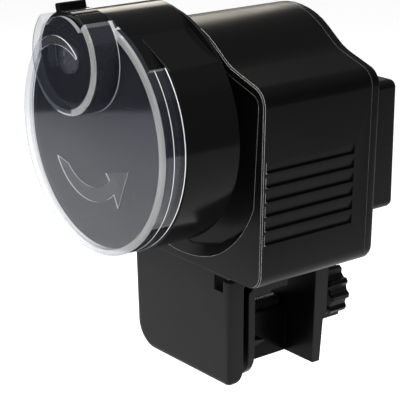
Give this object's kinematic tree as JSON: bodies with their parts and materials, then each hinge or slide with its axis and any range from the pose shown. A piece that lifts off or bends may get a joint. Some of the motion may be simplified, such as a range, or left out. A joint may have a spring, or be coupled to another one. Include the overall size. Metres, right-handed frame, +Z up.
{
  "type": "automatic pet feeder",
  "caption": "Clamp-on automatic aquarium feeder: clear-capped turning food drum with a dose gate, louvred drive housing, rear control box and screw clamp for a tank rim.",
  "frame": {"origin": "centre of the fixed jaw's contact face, where the tank wall rests", "axes": "+Z up; +Y from the drum towards the display, out of the fixed jaw; +X towards the louvred side opposite the battery door"},
  "size_m": [0.0748, 0.1035, 0.1202],
  "materials": {
    "housing": "black ABS, semi-gloss",
    "jaw_pad": "matt black",
    "rear_cover": "black ABS, semi-gloss",
    "control_box": "satin black",
    "control_panel": "satin black",
    "display_window": "clear, polished",
    "display_module": "grey-green liquid crystal display",
    "circuit_board": "green solder mask",
    "battery_tray": "satin black",
    "battery_door": "black ABS, semi-gloss",
    "motor": "plated can",
    "gear_plate": "satin dark grey",
    "limit_switch": "satin black",
    "index_cam": "natural acetal",
    "output_shaft": "natural acetal",
    "drive_gear": "natural acetal",
    "motor_pinion": "machined",
    "drum": "black, polished",
    "cap": "clear polystyrene, polished",
    "gate": "black, semi-gloss",
    "clamp_bracket": "black ABS, semi-gloss",
    "clamp_nut": "zinc plated",
    "clamp_screw": "moulded black nylon, satin",
    "clamp_knob": "satin black",
    "pressure_plate": "satin black",
    "lead_red": "red PVC",
    "lead_black": "black PVC",
    "cover_screw_1": "blackened steel",
    "cover_screw_2": "blackened steel",
    "cover_screw_3": "blackened steel",
    "cover_screw_4": "blackened steel",
    "bracket_screw_1": "blackened steel",
    "cell_1": "printed sleeve, plain",
    "contact_1": "nickel plated",
    "contact_spring_1": "nickel plated",
    "bracket_screw_2": "blackened steel",
    "cell_2": "printed sleeve, plain",
    "contact_2": "nickel plated",
    "contact_spring_2": "nickel plated",
    "button_left": "matt grey",
    "switch_left": "satin black",
    "button_middle": "matt grey",
    "switch_middle": "satin black",
    "button_right": "matt grey",
    "switch_right": "satin black"
  },
  "bodies": {
    "feeder_body": {"housing": "housing", "jaw_pad": "jaw_pad", "rear_cover": "rear_cover", "control_box": "control_box", "control_panel": "control_panel", "display_window": "display_window", "display_module": "display_module", "circuit_board": "circuit_board", "battery_tray": "battery_tray", "motor": "motor", "gear_plate": "gear_plate", "limit_switch": "limit_switch", "clamp_bracket": "clamp_bracket", "clamp_nut": "clamp_nut", "lead_red": "lead_red", "lead_black": "lead_black", "cover_screw_1": "cover_screw_1", "cover_screw_2": "cover_screw_2", "cover_screw_3": "cover_screw_3", "cover_screw_4": "cover_screw_4", "bracket_screw_1": "bracket_screw_1", "cell_1": "cell_1", "contact_1": "contact_1", "contact_spring_1": "contact_spring_1", "bracket_screw_2": "bracket_screw_2", "cell_2": "cell_2", "contact_2": "contact_2", "contact_spring_2": "contact_spring_2", "switch_left": "switch_left", "switch_middle": "switch_middle", "switch_right": "switch_right"},
    "food_drum": {"drum": "drum", "output_shaft": "output_shaft", "drive_gear": "drive_gear", "index_cam": "index_cam"},
    "drive_pinion": {"motor_pinion": "motor_pinion"},
    "clear_cap": {"cap": "cap"},
    "dose_gate": {"gate": "gate"},
    "left_button": {"button_left": "button_left"},
    "middle_button": {"button_middle": "button_middle"},
    "right_button": {"button_right": "button_right"},
    "battery_cover": {"battery_door": "battery_door"},
    "moving_jaw": {"pressure_plate": "pressure_plate"},
    "screw_and_knob": {"clamp_screw": "clamp_screw", "clamp_knob": "clamp_knob"}
  },
  "joints": [
    {"name": "drum_spin", "type": "hinge", "parent": "feeder_body", "child": "food_drum", "pos_m": [0, 0, 0.0636], "axis": [0, 1, 0], "continuous": true},
    {"name": "pinion_spin", "type": "hinge", "parent": "feeder_body", "child": "drive_pinion", "pos_m": [0, 0.0056, 0.0444], "axis": [0, 1, 0], "continuous": true},
    {"name": "cap_pull", "type": "slide", "parent": "food_drum", "child": "clear_cap", "axis": [0, -1, 0], "range_m": [0, 0.045]},
    {"name": "gate_turn", "type": "hinge", "parent": "clear_cap", "child": "dose_gate", "pos_m": [0, -0.0384, 0.0866], "axis": [0, 1, 0], "range_deg": [-22, 52]},
    {"name": "left_press", "type": "slide", "parent": "feeder_body", "child": "left_button", "axis": [0, -1, 0], "range_m": [0, 0.0009], "stiffness_N_per_m": 350, "springref_m": -0.001},
    {"name": "middle_press", "type": "slide", "parent": "feeder_body", "child": "middle_button", "axis": [0, -1, 0], "range_m": [0, 0.0009], "stiffness_N_per_m": 350, "springref_m": -0.001},
    {"name": "right_press", "type": "slide", "parent": "feeder_body", "child": "right_button", "axis": [0, -1, 0], "range_m": [0, 0.0009], "stiffness_N_per_m": 350, "springref_m": -0.001},
    {"name": "door_pull", "type": "slide", "parent": "feeder_body", "child": "battery_cover", "axis": [-1, 0, 0], "range_m": [0, 0.05]},
    {"name": "jaw_slide", "type": "slide", "parent": "feeder_body", "child": "moving_jaw", "axis": [0, 1, 0], "range_m": [-0.0026, 0.012]},
    {"name": "screw_turn", "type": "hinge", "parent": "moving_jaw", "child": "screw_and_knob", "pos_m": [0, 0.0216, -0.0038], "axis": [0, 1, 0], "range_deg": [-945, 4325]}
  ],
  "couplings": [
    {"joint": "pinion_spin", "follows": "drum_spin", "ratio": -3},
    {"joint": "screw_turn", "follows": "jaw_slide", "rad_per_m": 6283.2}
  ]
}
